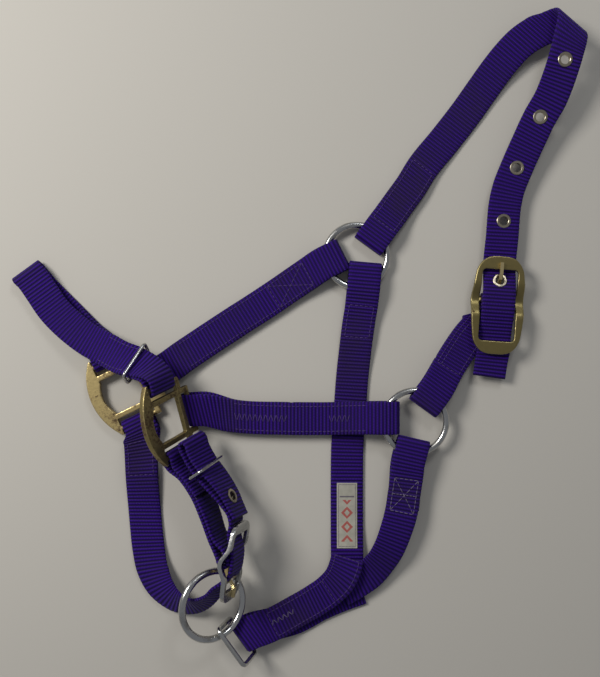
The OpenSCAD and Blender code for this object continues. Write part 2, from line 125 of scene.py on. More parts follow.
class HalterLabel(bpy.types.PropertyGroup):
    cloth: tint("Cloth", "Label tape", (0.5, 0.48, 0.4))
    motif: tint("Motif", "Woven diamonds", (0.42, 0.03, 0.025))
    border: tint("Border", "Border threads", (0.1, 0.085, 0.12))


class HalterStage(bpy.types.PropertyGroup):
    floor: tint("Floor", "Plain floor", (0.5, 0.475, 0.425))
    height: bpy.props.FloatProperty(
        name="Camera height", description="Height of the lens above the floor", default=0.6, unit="LENGTH"
    )
    key: bpy.props.FloatProperty(
        name="Key light", description="Watts of the large lamp", default=10.0, min=0.0
    )


# ---- routes -----------------------------------------------------------------------------------


def unit(v):
    v = np.asarray(v, float)
    return v / np.linalg.norm(v)


def aim(turn, rise=0.0):
    t, r = math.radians(turn), math.radians(rise)
    return np.array([math.cos(r) * math.cos(t), math.cos(r) * math.sin(t), math.sin(r)])


def put(p, side):
    return np.concatenate((p, unit(side)))


def at(x, y, z, turn, rise=0.0):
    return put((x, y, z), aim(turn, rise))


def axes(x, y):
    a = unit(x)
    c = unit(np.cross(a, y))
    return [a, np.cross(c, a), c]


def world(f, o, p):
    return np.asarray(o, float) + f[0] * p[0] + f[1] * p[1] + f[2] * p[2]


def fold(c, out, rise, r, side, lead):
    """A strap going round a bar at c: in on the low side of rise, and back on the high side."""
    turns = [math.radians(a) for a in range(-115, -246, -26)]
    return (
        [put(c + out * lead - rise * r, side), put(c + out - rise * r, side)]
        + [put(c + out * (r * math.cos(a)) + rise * (r * math.sin(a)), side) for a in turns]
        + [put(c + out + rise * r, side), put(c + out * lead + rise * r, side)]
    )


def span(r, i):
    return np.linalg.norm(r[i + 1][:3] - r[i][:3])


def slope(r, i):
    if i == 0:
        return (r[1] - r[0]) / span(r, 0)
    if i == len(r) - 1:
        return (r[i] - r[i - 1]) / span(r, i - 1)
    a, b = span(r, i - 1), span(r, i)
    return ((r[i] - r[i - 1]) / a * b + (r[i + 1] - r[i]) / b * a) / (a + b)


def strap_axes(r, i):
    t = unit(slope(r, i)[:3])
    z = unit(np.cross(r[i][3:], t))
    return [np.cross(t, z), t, z]


def over(r, i, d):
    return np.concatenate((r[i][:3] + strap_axes(r, i)[2] * d, r[i][3:]))


class Strap:
    """A strap's route, cut into even sections: middle, width, face and the length run so far."""

    def __init__(self, route, step, width, thick):
        p, w, at_point = [], [], [0]
        for i in range(len(route) - 1):
            h, m, n = span(route, i), slope(route, i), slope(route, i + 1)
            k = max(6, int(h / 0.4))
            for j in range(k + (i == len(route) - 2)):
                t = j / k
                q = (
                    route[i] * (2 * t**3 - 3 * t * t + 1)
                    + m * (h * (t**3 - 2 * t * t + t))
                    + route[i + 1] * (3 * t * t - 2 * t**3)
                    + n * (h * (t**3 - t * t))
                )
                p.append(q[:3])
                w.append(q[3:])
            at_point.append(len(p))
        p, w = np.array(p), np.array(w)
        run = np.concatenate(([0.0], np.cumsum(np.linalg.norm(np.diff(p, axis=0), axis=1))))
        self.point_run = [run[min(i, len(run) - 1)] for i in at_point]
        self.length = run[-1]
        count = int(round(self.length / step)) + 1
        self.run = np.linspace(0, self.length, count)
        self.mid = np.stack([np.interp(self.run, run, p[:, k]) for k in range(3)], 1)
        wide = np.stack([np.interp(self.run, run, w[:, k]) for k in range(3)], 1)
        wide /= np.linalg.norm(wide, axis=1)[:, None]
        self.tangent = np.gradient(self.mid, axis=0)
        self.tangent /= np.linalg.norm(self.tangent, axis=1)[:, None]
        lean = np.cross(self.tangent, wide)
        size = np.linalg.norm(lean, axis=1)[:, None]
        self.half = wide * (width / 2) / size
        self.face = lean / size
        self.thick = thick

    def spot(self, run, across, lift):
        """The place at a length along the strap, across it (-1 to 1) and lifted out of it; then its face."""
        mid, half, face = (
            np.array([np.interp(run, self.run, rows[:, k]) for k in range(3)])
            for rows in (self.mid, self.half, self.face)
        )
        return mid + half * across + unit(face) * lift, unit(face)


# ---- the halter's own layout, in mm ------------------------------------------------------------

off_square_at, off_square = np.array([-145.4, -44.7, 5.2]), axes(aim(26), aim(-64))
near_square_at = np.array([-102.6, -63, 37.8])
near_square = axes([0.513, 0.27, -0.815], [0.226, -0.957, -0.178])
crown_buckle_at, crown_buckle = np.array([149.5, 29, 8]), axes(aim(-4), aim(86))
chin_buckle_at, chin_buckle = np.array([-52, -160.9, 31.5]), axes(aim(-10, -74), aim(80))

crown_end, crown_out = np.array([52, 71, 5.4]), aim(54)
poll_at, poll_line, poll_out = np.array([191.3, 235.7, 12]), aim(-41), aim(49)
crown_route = (
    [put(crown_end + crown_out * d - UP * 3.9, aim(-36)) for d in (58, 34)]
    + fold(crown_end + crown_out * RING_FOLD, crown_out, UP, RING_FOLD, aim(-36), 15)
    + [
        at(69, 94, 6.4, -37), at(76, 104, 4.6, -38), at(84, 115, 4.1, -38), at(94, 131, 2.9, -38),
        at(111, 152, 1.3, -37), at(128, 174, 1.3, -38), at(140, 191, 1.8, -38), at(150, 205, 3.6, -39),
        at(158, 215, 6, -40), at(168, 225, 8.4, -41), at(180, 232, 10.8, -41),
    ]
    + [
        put(
            poll_at + poll_out * (7 * math.sin(a)) + UP * (7 * (1 - math.cos(a))) + poll_line * (3.9 * a),
            poll_line,
        )
        for a in [math.radians(d) for d in range(0, 181, 30)]
    ]
    + [
        at(198, 216, 25.5, -26), at(195.6, 206, 24.3, -16), at(192, 193, 21.5, -19),
        at(187, 179, 18.5, -26),
        at(180, 166, 15.5, -30), at(172, 148, 12.5, -27), at(164, 129, 10, -22), at(158, 113, 9, -14),
        at(155.3, 100, 8.7, -7), at(154.3, 89, 8.6, -4), at(153.5, 78, 8.6, -3),
    ]
    + [
        put(world(crown_buckle, crown_buckle_at, (0, y, z)), crown_buckle[0])
        for y, z in (
            (33, 0.7), (24, 0.7), (14.4, 4), (6, 6.3), (0, 6.5), (-7, 6.2), (-16, 3.6), (-27, 0.9),
            (-38, 0.7),
        )
    ]
    + [at(145.2, -18, 8.3, -6), at(143.8, -29, 7.2, -8)]
)

near_chape_end = np.array([93, -52, 10])
crown_chape_route = (
    [at(113.2, -21.4, 5.6, -31)]
    + fold(near_chape_end + aim(54) * RING_FOLD, aim(54), UP, RING_FOLD, aim(-36), 14)
    + [
        at(112, -23, 9.6, -32), at(120.5, -10.5, 6.2, -30), at(130, 2.5, 4.9, -25, 4),
        at(139, 11.5, 5.3, -16, 6),
        at(148.4, 19.5, 7.9, -5, 2),
    ]
    + fold(crown_buckle_at, -crown_buckle[1], UP, BUCKLE_FOLD, crown_buckle[0], 2)[::-1]
    + [
        at(148.4, 19.5, 3.4, -5), at(138.5, 11.2, 2.2, -16), at(130, 2.5, 2.2, -25),
        at(120.5, -10.5, 3.3, -30),
        at(114.6, -19.4, 5.2, -31),
    ]
)

off_front = world(off_square, off_square_at, (37.5, 0, 0))
off_cheek_route = (
    [at(-38, 20, 1.4, 122), at(5, 48.6, 1.4, 119)]
    + fold(np.array([32.4, 64.35, 5.4]) + aim(207) * RING_FOLD, aim(207), UP, RING_FOLD, aim(117), 14)
    + [at(6, 49.3, 7, 119), at(-6, 41.2, 4.8, 121), at(-20, 31.6, 4.1, 122), at(-55, 9, 4.1, 121.5),
       at(-88, -13, 5, 119)]
    + fold(off_front, off_square[0], UP, BAR_FOLD, -off_square[1], 7)[::-1]
    + [at(-88, -13, 1.5, 119), at(-55, 9, 1.3, 121.5), at(-40.5, 18.4, 1.3, 122)]
)

near_front = world(near_square, near_square_at, (37.5, 1, 0))
near_fold_rise = -unit(np.cross(aim(2, 6), near_square[1]))
near_cheek_route = (
    [at(-5, -61, 4.2, -90), at(25, -61, 4.2, -90), at(44, -60.5, 4.6, -90)]
    + fold(np.array([74.4 - RING_FOLD, -60, 10]), aim(180), UP, RING_FOLD, aim(-90), 14)
    + [
        at(50, -60, 12.4, -90), at(38, -60.5, 8.6, -90), at(22, -61, 7.2, -90), at(-10, -61, 7, -90),
        at(-50, -59, 7.6, -87),
    ]
    + fold(near_front, aim(2, 6), near_fold_rise, BAR_FOLD + 0.35, near_square[1], 8)[::-1]
    + [at(-50, -59, 4.6, -87), at(-8, -61, 4.2, -90)]
)

off_top = world(off_square, off_square_at, (12, -25.5, 0))
near_top = world(near_square, near_square_at, (12, -25.5, 0))
nose_turn_at = np.array([-207.5, 49.5, 4.4])
noseband_over = [
    at(-204, 46, 7.3, 216), at(-197, 36, 7.3, 216), at(-188, 23, 7.6, 218), at(-174, 9.5, 10, 226),
    at(-160, -0.5, 13.5, 238), at(-146, -7.5, 18.5, 242), at(-132, -14, 24.5, 238, 10),
    at(-120.5, -17.4, 28.8, 232, 25),
]
noseband_route = (
    [at(-176, 15, 4.1, 221), at(-166, 5, 4.2, 217)]
    + fold(off_top, -off_square[1], UP, BAR_FOLD, -off_square[0], 7)[::-1]
    + [
        at(-163.5, 3.5, 1.3, 216), at(-175, 15, 1.3, 219), at(-187, 27, 1.3, 219), at(-198, 38.5, 1.3, 218),
        at(-205, 47, 1.4, 217),
    ]
    + [
        put(nose_turn_at + aim(127) * (3.1 * math.cos(a)) + UP * (3.1 * math.sin(a)), aim(216))
        for a in [math.radians(d) for d in (-60, -20, 20, 60)]
    ]
    + noseband_over
    + fold(near_top, -near_square[1], near_square[2], BAR_FOLD, -near_square[0], 6)
    + [over(noseband_over, i, -PLY) for i in (7, 6, 5)]
)

off_throat_route = (
    [at(43.4, -1, 1.3, -4), at(46.6, 22, 1.5, -6)]
    + fold(np.array([50, 57.2, 5.4]) + aim(-95) * RING_FOLD, aim(-95), UP, RING_FOLD, aim(-5), 15)
    + [
        at(46.9, 25, 6.4, -6), at(45, 13, 4.6, -5), at(43.4, 1, 4.1, -4), at(42, -12, 2.6, -4),
        at(40.5, -26, 1.5, -3), at(38.5, -52, 1.2, -4), at(36.5, -80, 1.2, -2), at(36, -110, 1.2, 0),
        at(36, -130, 1.2, 0), at(36, -146, 1.5, 0),
        at(36, -158, 2.9, 0), at(36, -165, 4.3, 0), at(36, -172, 4.6, 0),
    ]
)
near_throat_route = (
    [at(78, -129, 8.5, -8), at(80, -112, 6.6, -8)]
    + fold(np.array([86.2, -76.4, 10]) + aim(-105) * RING_FOLD, aim(-105), UP, RING_FOLD, aim(-13), 13)
    + [
        at(80.4, -106, 11.6, -8), at(78.6, -118, 11.2, -8), at(76.5, -131, 11.6, -12),
        at(72, -146, 12.6, -19, -6),
        at(66.8, -159, 12.4, -28, -12), at(60.8, -169.6, 10, -40, -16), at(52.9, -179, 7.2, -55, -9),
        at(43, -186, 6, -66, -4), at(33, -191.5, 5, -70, 0),
    ]
)
connector_route = (
    [at(47, -192, 1.2, 108), at(34, -196.5, 1.3, 112), at(16, -204, 1.3, 115), at(-4, -214.5, 1.5, 117)]
    + [at(-20, -218.5, 2.8, 117, -3)]
    + fold(np.array([-43.4, -225.5, 6.9]), aim(24), UP, LOOP_FOLD, -np.array([0.614, -0.777, 0.136]), 6)
    + [
        at(-21, -217, 8.4, 118, -5), at(-4, -208.5, 5.8, 117), at(11, -199.5, 6.8, 116),
        at(22, -191, 9.2, 124),
        at(30, -182, 10.6, 140, -5), at(34.3, -172.5, 10.2, 158, -9), at(35.8, -166.5, 9.6, 165, -9),
    ]
)

off_bottom = world(off_square, off_square_at, (12, 25.5, 0))
near_bottom = world(near_square, near_square_at, (12, 25.5, 0))
tail_turn_at, tail_turn_rise = np.array([-78.8, -75.5, 29.3]), np.array([0.8, 0.3, 0.5])
chin_route = (
    [at(-121, -112, 1.2, 3), at(-121.6, -86, 1.3, 8)]
    + fold(off_bottom, off_square[1], UP, BAR_FOLD, off_square[0], 6)
    + [
        at(-121.6, -78, 6.4, 14), at(-121.5, -90, 4.6, 7), at(-121, -104, 4.1, 3), at(-120.3, -117, 2.8, 1),
        at(-119.4, -130, 1.3, 0), at(-118, -146, 1.3, 0), at(-116.2, -161, 1.8, 3),
        at(-113, -176, 3.6, 12, 8),
        at(-106, -189.5, 6.4, 34, 22), at(-95, -198.5, 10, 66, 36), at(-83, -200.5, 15.5, 100, 46),
        at(-72, -196, 22, 128, 55), at(-63.5, -188, 27, 150, 65),
    ]
    + [
        put(world(chin_buckle, chin_buckle_at, (0, y, z)), -chin_buckle[0])
        for y, z in (
            (-19.4, -3.6), (-16.6, -0.2), (-13.6, 3.3), (-9, 5.8), (0, 6.5), (8, 5.4), (14, 2.6),
            (20, 0.5), (28, 0.4),
        )
    ]
    + [
        at(-47.6, -128, 30.2, 176, 72), at(-53.5, -118, 30, 184, 69), at(-62.5, -107, 29, 192, 65),
        at(-71, -96, 28, 199, 60), at(-78, -84, 27.4, 204, 57),
    ]
    + [
        put(
            tail_turn_at + aim(112) * (3 * math.cos(a)) + tail_turn_rise * (3 * math.sin(a)),
            aim(206, 57),
        )
        for a in [math.radians(d) for d in (-80, -40, 0, 40, 80)]
    ]
    + [
        at(-74.5, -80, 31.4, 205, 57), at(-68.5, -90.5, 31.6, 200, 59), at(-60, -100.5, 32, 193, 63),
        at(-50.3, -115, 32.2, 184, 68), at(-46.8, -122.5, 32, 178, 70), at(-43.4, -129.5, 32, 176, 72),
    ]
)
chape_rise = unit(np.cross(chin_buckle[0], aim(108)))
chin_chape_route = (
    [at(-71, -112.5, 27.2, 195, 66), at(-79.9, -98.8, 24.1, 203, 60)]
    + fold(near_bottom, near_square[1], -near_square[2], BAR_FOLD, -near_square[0], 6)[::-1]
    + [at(-82, -100.5, 22.6, 203, 60), at(-74, -113, 25.6, 195, 66), at(-67, -130, 27.8, 185, 70),
       at(-61.4, -146, 29, 177, 72)]
    + fold(chin_buckle_at, np.cross(chape_rise, chin_buckle[0]), chape_rise, BUCKLE_FOLD, -chin_buckle[0], 3)
    + [at(-58.6, -145, 30, 177, 72), at(-64.2, -129.5, 29, 185, 70), at(-70.2, -115, 27.4, 194, 66.5)]
)


# ---- shader sums --------------------------------------------------------------------------------


class Sum:
    """A socket that can be used in sums."""

    def __init__(self, finish, socket):
        self.finish, self.socket = finish, socket

    def _math(self, how, a, b=None, clamp=False):
        terms = {0: a} if b is None else {0: a, 1: b}
        return self.finish.node("ShaderNodeMath", {"operation": how, "use_clamp": clamp}, terms)

    def __add__(self, b):
        return self._math("ADD", self, b)

    __radd__ = __add__

    def __mul__(self, b):
        return self._math("MULTIPLY", self, b)

    __rmul__ = __mul__

    def __sub__(self, b):
        return self._math("SUBTRACT", self, b)

    def __rsub__(self, b):
        return self._math("SUBTRACT", b, self)

    def __truediv__(self, b):
        return self._math("DIVIDE", self, b)

    def __gt__(self, b):
        return self._math("GREATER_THAN", self, b)

    def __lt__(self, b):
        return self._math("LESS_THAN", self, b)

    def __abs__(self):
        return self._math("ABSOLUTE", self)

    def sin(self):
        return self._math("SINE", self)

    def cos(self):
        return self._math("COSINE", self)

    def fraction(self):
        return self._math("FRACT", self)

    def held(self):
        return self._math("MULTIPLY", self, 1.0, clamp=True)


class Finish:
    """One material and the nodes that make it."""

    def __init__(self, name):
        self.material = bpy.data.materials.new(name)
        self.material.use_nodes = True
        self.tree = self.material.node_tree
        self.shader = self.tree.nodes["Principled BSDF"]

    def node(self, kind, settings=None, inputs=None, out=0):
        made = self.tree.nodes.new(kind)
        for key, value in (settings or {}).items():
            if key == "stops":
                ramp = made.color_ramp
                while len(ramp.elements) < len(value):
                    ramp.elements.new(0.5)
                for stop, (place, shade) in zip(ramp.elements, value):
                    stop.position, stop.color = place, (*shade, 1.0)
            else:
                setattr(made, key, value)
        for key, value in (inputs or {}).items():
            self.feed(made.inputs[key], value)
        return Sum(self, made.outputs[out])

    def feed(self, socket, value):
        if isinstance(value, Sum):
            self.tree.links.new(value.socket, socket)
        elif hasattr(value, "__len__") and len(value) == 3 and socket.type == "RGBA":
            socket.default_value = (*value, 1.0)
        else:
            socket.default_value = value

    def mix(self, factor, a, b):
        made = self.tree.nodes.new("ShaderNodeMix")
        made.data_type = "RGBA"
        self.feed(made.inputs[0], factor)
        self.feed(made.inputs[6], a)
        self.feed(made.inputs[7], b)
        return Sum(self, made.outputs[2])

    def noise(self, scale, detail=3.0, rough=0.5):
        place = self.node("ShaderNodeTexCoord", out="Object")
        settings = {"Vector": place, "Scale": scale, "Detail": detail, "Roughness": rough}
        return self.node("ShaderNodeTexNoise", {}, settings)

    def set(self, **values):
        for key, value in values.items():
            self.feed(self.shader.inputs[key.replace("_", " ")], value)

    def bump(self, height, depth, strength=1.0):
        bumps = {"Height": height, "Distance": depth, "Strength": strength}
        self.set(Normal=self.node("ShaderNodeBump", {}, bumps))


def ribbed_nylon(sizes):
    """Dyed webbing: cross ribs of twisted yarn, with painted shade between them and a painted highlight on
    their crests, browned where it is soiled.
    """
    f = Finish("ribbed_nylon")
    uv = f.node("ShaderNodeUVMap", {"uv_map": "weave"})
    split = f.tree.nodes.new("ShaderNodeSeparateXYZ")
    f.feed(split.inputs[0], uv)
    across, along = Sum(f, split.outputs[0]), Sum(f, split.outputs[1])
    ribs = along * (sizes.width / sizes.rib_pitch)
    crest = (ribs * (2 * math.pi)).cos() * 0.5 + 0.5
    row = (ribs + 0.5).fraction()
    odd = ((ribs * 0.5 + 0.25).fraction() > 0.5) * 0.5
    yarn = abs(((across * 21.0 + odd) * math.pi).sin())
    twist = (((across * 21.0 + row * 0.6) * (2 * math.pi)).sin()) * 0.5 + 0.5
    fuzz = f.noise(2600.0, 2.0)
    height = crest * 0.5 + crest * yarn * 0.75 + twist * 0.15 + fuzz * 0.3
    f.bump(height, 0.0004, 1.0)
    soil = f.node("ShaderNodeAttribute", {"attribute_name": "soil"}, out="Fac")
    patchy = f.noise(70.0, 4.0, 0.6)
    broad = f.noise(14.0, 2.0)
    amount = (soil * (patchy * 1.9 - 0.25)).held()
    # the valley colour is painted shade between the ribs, and the crest colour is a painted highlight on them
    painted_rib_shade = tuple(c * 0.14 for c in sizes.colour)
    bright = tuple(min(1.0, c * 2.0) for c in sizes.colour)
    cloth = f.mix((crest * 0.55 + crest * yarn * 0.5).held(), painted_rib_shade, bright)
    cloth = f.mix((broad * 1.4 - 0.35).held() * 0.5, cloth, tuple(c * 0.72 for c in sizes.colour))
    # pale lilac flecks on the rib crests are a painted glint
    cloth = f.mix(((fuzz - 0.62) * 5.0).held() * crest * 0.35, cloth, (0.08, 0.045, 0.22))
    cloth = f.mix(amount * (crest * 0.5 + 0.5), cloth, tuple(sizes.faded))
    f.set(
        Base_Color=cloth, Roughness=(fuzz * 0.3 + 0.42 + amount * 0.2).held(),
        Sheen_Weight=0.04, Sheen_Roughness=0.4,
        Specular_IOR_Level=0.14,
    )
    return f.material


def sewing_thread(name, colour):
    f = Finish(name)
    fuzz = f.noise(3000.0, 2.0)
    tone = f.noise(160.0, 2.0)
    yarn = f.mix((tone * 1.5 - 0.25).held(), tuple(c * 0.45 for c in colour), tuple(colour))
    f.set(Base_Color=yarn, Roughness=fuzz * 0.3 + 0.45)
    f.bump(fuzz, 0.0002, 0.6)
    return f.material


def plated_nickel(colour, name="plated_nickel", dull=0.0):
    """Bright plated steel: fine scratches, and patches where the plating has greyed."""
    f = Finish(name)
    grime = f.noise(55.0, 5.0, 0.65)
    scratch = f.noise(900.0, 3.0, 0.7)
    worn = ((grime - 0.5) * 6.0).held()
    f.set(
        Base_Color=f.mix(worn * 0.65, tuple(colour), (0.2, 0.185, 0.16)),
        Metallic=1.0,
        Roughness=(0.13 + dull + worn * 0.24 + scratch * 0.12).held(),
    )
    f.bump(scratch * 0.5 + grime * 0.5, 0.00012, 0.5)
    return f.material


def cast_brass(name, colour, tarnish, spots, edge, rough):
    """Cast brass: rubbed bright on its edges and browned in spots."""
    f = Finish(name)
    edges = f.node("ShaderNodeNewGeometry", out="Pointiness")
    rubbed = ((edges - 0.515) * 14.0).held()
    cloud = f.noise(90.0, 5.0, 0.65)
    speck = f.noise(420.0, 3.0, 0.6)
    brown = ((cloud * 0.7 + speck * 0.5 - spots) * 7.0).held()
    body = f.mix(brown * (1.0 - rubbed * 0.8), tuple(colour), tuple(tarnish))
    body = f.mix(rubbed * 0.75, body, edge)
    f.set(
        Base_Color=body,
        Metallic=0.92 - brown * 0.35,
        Roughness=(rough + brown * 0.25 - rubbed * 0.12 + speck * 0.14).held(),
    )
    f.bump(cloud * 0.6 + speck * 0.6, 0.00025, 0.5)
    return f.material


def woven_label(colours):
    """Label tape: fine cross weave, a dark border, a plain band and a run of diamonds."""
    f = Finish("woven_label")
    uv = f.node("ShaderNodeUVMap", {"uv_map": "weave"})
    split = f.tree.nodes.new("ShaderNodeSeparateXYZ")
    f.feed(split.inputs[0], uv)
    x, y = Sum(f, split.outputs[0]), Sum(f, split.outputs[1])
    side, end = abs(x - 0.5) * LABEL_WIDE, abs(y - 0.5) * LABEL_LONG
    line = (abs(side - 6.5) < 0.28) * (end < 23.7) + (abs(end - 23.7) < 0.28) * (side < 6.7)
    dash = ((x * LABEL_WIDE + y * LABEL_LONG) * 0.9).fraction() > 0.3
    lozenge = (side / 4.6 + abs((y * 4.6).fraction() - 0.5) * 2.3) < 1.0
    hollow = (side / 2.1 + abs((y * 4.6).fraction() - 0.5) * 4.4) > 1.0
    motif = lozenge * hollow * (y < 0.74) * (y > 0.1)
    band = (abs(y - 0.79) < 0.012) * (side < 5.6)
    warp = abs(((x * 46.0) * math.pi).sin()) * 0.5 + abs(((y * 140.0) * math.pi).sin()) * 0.5
    dirt = f.noise(120.0, 4.0, 0.6)
    soiled = tuple(c * 0.45 for c in colours.cloth)
    cloth = f.mix((dirt * 1.8 - 0.5).held() * 0.7, tuple(colours.cloth), soiled)
    cloth = f.mix((motif * (warp * 0.8 + 0.35)).held(), cloth, tuple(colours.motif))
    cloth = f.mix(((line * dash) + band).held() * 0.9, cloth, tuple(colours.border))
    # the darker gaps between the label's threads are painted shade in the weave
    cloth = f.mix((1.0 - warp) * 0.4, cloth, (0.12, 0.1, 0.08))
    f.set(Base_Color=cloth, Roughness=0.75)
    f.bump(warp * 0.6 + motif * 0.35 + line * 0.5, 0.00022, 0.7)
    return f.material


# ---- making pieces ------------------------------------------------------------------------------

finishes = {}


def finish_of(name, make, *words, **more):
    if name not in finishes:
        finishes[name] = make(*words, **more)
    return finishes[name]


def only(obj):
    bpy.ops.object.select_all(action="DESELECT")
    obj.select_set(True)
    bpy.context.view_layer.objects.active = obj


def new_piece(name, mesh, material, body, nodes=()):
    obj = bpy.data.objects.new(name, mesh)
    bpy.context.scene.collection.objects.link(obj)
    obj.data.materials.clear()
    obj.data.materials.append(material)
    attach(obj, body)
    if nodes:
        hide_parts(*nodes)
    return obj


def cross_section():
    """Points round a strap's edge: across it and out of its face as shares, and the place in the weave."""
    flat = [-0.94 + 1.88 * k / 8 for k in range(9)]
    ring = [(a, 1.0, (a + 1) / 2) for a in flat]
    ring += [(0.978, 0.72, 0.99), (1.0, 0.0, 1.04), (0.978, -0.72, 1.09)]
    ring += [(a, -1.0, 2.1 - (a + 1) / 2) for a in flat[::-1]]
    return ring + [(-0.978, -0.72, 2.09), (-1.0, 0.0, 2.14), (-0.978, 0.72, 2.19)]


def strap_mesh(name, strap, sizes, soils=()):
    ring = cross_section()
    k = len(ring)
    a = np.array([r[0] for r in ring])
    b = np.array([r[1] for r in ring])
    run, n = strap.run, len(strap.run)
    rib = np.cos(2 * math.pi * run / sizes.rib_pitch)
    out = strap.thick / 2 - sizes.rib_height * 0.35 + rib * sizes.rib_height * 0.65
    pinch = 1.0 - 0.004 * (1 - rib)
    points = (
        strap.mid[:, None, :]
        + strap.half[:, None, :] * (a[None, :, None] * pinch[:, None, None])
        + strap.face[:, None, :] * (b[None, :, None] * out[:, None, None])
    )
    caps = []
    for i, way in ((0, -1), (n - 1, 1)):
        caps.append(
            strap.mid[i] + strap.tangent[i] * (0.35 * way)
            + strap.half[i][None, :] * (a[:, None] * 0.985)
            + strap.face[i][None, :] * (b[:, None] * strap.thick / 2 * 0.62)
        )
    rows = np.concatenate((caps[0][None], points, caps[1][None]), 0)
    runs = np.concatenate(([run[0]], run, [run[-1]]))
    m = n + 2
    co = ((rows.reshape(-1, 3) + SET_DOWN) * MM)
    faces, uvs = [], []
    across = [r[2] for r in ring] + [2.2]
    for i in range(m - 1):
        low, high = runs[i] / sizes.width, runs[i + 1] / sizes.width
        for j in range(k):
            j2 = (j + 1) % k
            faces.append((i * k + j, (i + 1) * k + j, (i + 1) * k + j2, i * k + j2))
            uvs += [across[j], low, across[j], high, across[j + 1], high, across[j + 1], low]
    faces.append(tuple(range(k)))
    uvs += [v for j in range(k) for v in (across[j], 0.0)]
    faces.append(tuple((m - 1) * k + j for j in range(k - 1, -1, -1)))
    uvs += [v for j in range(k - 1, -1, -1) for v in (across[j], runs[-1] / sizes.width)]
    mesh = bpy.data.meshes.new(name)
    mesh.from_pydata(co.tolist(), [], faces)
    layer = mesh.uv_layers.new(name="weave")
    layer.data.foreach_set("uv", uvs)
    mesh.polygons.foreach_set("use_smooth", [True] * len(mesh.polygons))
    soil = np.full(m, 0.12)
    for point, spread, amount in soils:
        mid = strap.point_run[point]
        soil = np.maximum(soil, amount * np.exp(-(((runs - mid) / spread) ** 2)))
    soil[:2] = soil[-2:] = 0.8
    layer = mesh.attributes.new("soil", "FLOAT", "POINT")
    layer.data.foreach_set("value", np.repeat(soil, k))
    mesh.update()
    return mesh


def shape_with(obj, bm, operation):
    """Cuts a piece with the shape in bm, or keeps what is inside it, and clears the shape away."""
    mesh = bpy.data.meshes.new("cutter")
    bm.to_mesh(mesh)
    bm.free()
    tool = bpy.data.objects.new("cutter", mesh)
    bpy.context.scene.collection.objects.link(tool)
    only(obj)
    change = obj.modifiers.new("shape", "BOOLEAN")
    change.operation, change.solver, change.object = operation, "EXACT", tool
    bpy.ops.object.modifier_apply(modifier=change.name)
    bpy.data.objects.remove(tool)
    bpy.data.meshes.remove(mesh)


def cut(obj, cutters):
    """Takes the cutter shapes, each a matrix with a radius or a box size in mm, out of a piece."""
    bm = bmesh.new()
    for matrix, size in cutters:
        if isinstance(size, tuple):
            scale = Matrix.Diagonal((*[s * MM for s in size], 1.0))
            bmesh.ops.create_cube(bm, size=1.0, matrix=matrix @ scale)
        else:
            bmesh.ops.create_cone(
                bm, cap_ends=True, segments=32, radius1=size * MM, radius2=size * MM, depth=9 * MM,
                matrix=matrix,
            )
    shape_with(obj, bm, "DIFFERENCE")


def matrix_of(f, o, shift=(0, 0, 0)):
    place = (world(f, o, shift) + SET_DOWN) * MM
    m = Matrix.Identity(4)
    for c in range(3):
        for r in range(3):
            m[r][c] = f[c][r]
        m[c][3] = place[c]
    return m


def lay_strap(name, route, nodes, soils=(), holes=(), slots=()):
    sizes = bpy.context.scene.halter_webbing
    strap = Strap(route, sizes.rib_pitch / RIB_STEPS, sizes.width, sizes.thickness)
    mesh = strap_mesh(name, strap, sizes, soils)
    obj = new_piece(name, mesh, finish_of("nylon", ribbed_nylon, sizes), "webbing", nodes)
    tools = [(matrix_of(strap_axes(route, i), route[i][:3]), EYELET_CUT) for i in holes]
    tools += [
        (matrix_of(f, o, (0, (lo + hi) / 2, 0)), (TONGUE_SLOT, hi - lo, 16.0)) for f, o, lo, hi in slots
    ]
    if tools:
        cut(obj, tools)
    return strap


class Sewing:
    """Stitches gathered for one piece of thread."""

    def __init__(self):
        self.points, self.faces = [], []

    def stitch(self, start, end, normal, thick=0.3):
        line = end - start
        long = np.linalg.norm(line)
        t = line / long
        side = np.cross(normal, t)
        base = len(self.points)
        for along, size, lift in STITCH_SHAPE:
            c = start + line * along + normal * lift
            for a in range(6):
                w = math.radians(60 * a)
                self.points.append(c + (side * math.cos(w) + normal * math.sin(w)) * (thick * size))
        for i in range(4):
            for a in range(6):
                p, q = base + 6 * i + a, base + 6 * i + (a + 1) % 6
                self.faces.append((p, q, q + 6, p + 6))
        self.faces.append(tuple(base + a for a in range(5, -1, -1)))
        self.faces.append(tuple(base + 24 + a for a in range(6)))

    def row(self, strap, start, end, across, face=0, pitch=3.3, zigzag=0.0, thick=0.3):
        """Stitches from one route point to another; across may be one place or a place at each end."""
        lo, hi = (strap.point_run[p] if isinstance(p, int) else p for p in (start, end))
        first, last = across if isinstance(across, tuple) else (across, across)
        long = abs(hi - lo) if hi != lo else abs(last - first) * 12.5
        count = max(1, int(long / pitch))
        for i in range(count):
            marks = []
            for end, share in enumerate((i / count + 0.08 / count, (i + 1) / count - 0.08 / count)):
                run = lo + (hi - lo) * share
                sway = zigzag * (1 if (i + end) % 2 else -1)
                place = first + (last - first) * share + sway
                normal = strap.spot(run, place, 0.0)[1]
                way = face or (1 if normal[2] > 0 else -1)
                marks.append((strap.spot(run, place, way * (strap.thick / 2 + 0.12))[0], normal * way))
            self.stitch(marks[0][0], marks[1][0], unit(marks[0][1] + marks[1][1]), thick)

    def box(self, strap, start, end, across=0.74, cross=False, face=0, thick=0.3):
        for a in (-across, across):
            self.row(strap, start, end, a, face, thick=thick)
        for p in (start, end):
            self.row(strap, p, p, (-across, across), face, thick=thick)
        if cross:
            self.row(strap, start, end, (-across, across), face, thick=thick)
            self.row(strap, start, end, (across, -across), face, thick=thick)

    def piece(self, name, material):
        mesh = bpy.data.meshes.new(name)
        mesh.from_pydata(((np.array(self.points) + SET_DOWN) * MM).tolist(), [], self.faces)
        mesh.polygons.foreach_set("use_smooth", [True] * len(mesh.polygons))
        return new_piece(name, mesh, material, "webbing", ())


